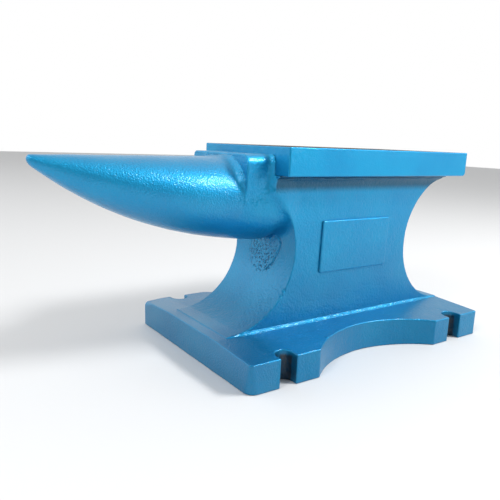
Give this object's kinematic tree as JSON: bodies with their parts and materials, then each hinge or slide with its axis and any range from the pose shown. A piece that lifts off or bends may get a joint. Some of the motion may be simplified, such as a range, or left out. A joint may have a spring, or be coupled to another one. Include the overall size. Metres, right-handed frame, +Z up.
{
  "type": "single horn anvil",
  "caption": "Single horn anvil with a flat working face, a step, a waisted body and a notched base, for hammering and shaping metal.",
  "frame": {"origin": "centre of the base's underside", "axes": "+Z up, +X along the anvil towards the heel (the horn points to -X), +Y across it to the side without the raised pad"},
  "size_m": [0.4728, 0.216, 0.21],
  "materials": {
    "casting_paint": "gloss",
    "horn_paint": "gloss",
    "face_steel": "gloss",
    "weld_paint": "gloss",
    "pad_paint": "gloss"
  },
  "bodies": {
    "root": {"body_casting": "casting_paint", "horn": "horn_paint", "face_plate": "face_steel", "face_weld": "weld_paint", "raised_pad": "pad_paint"}
  },
  "joints": []
}
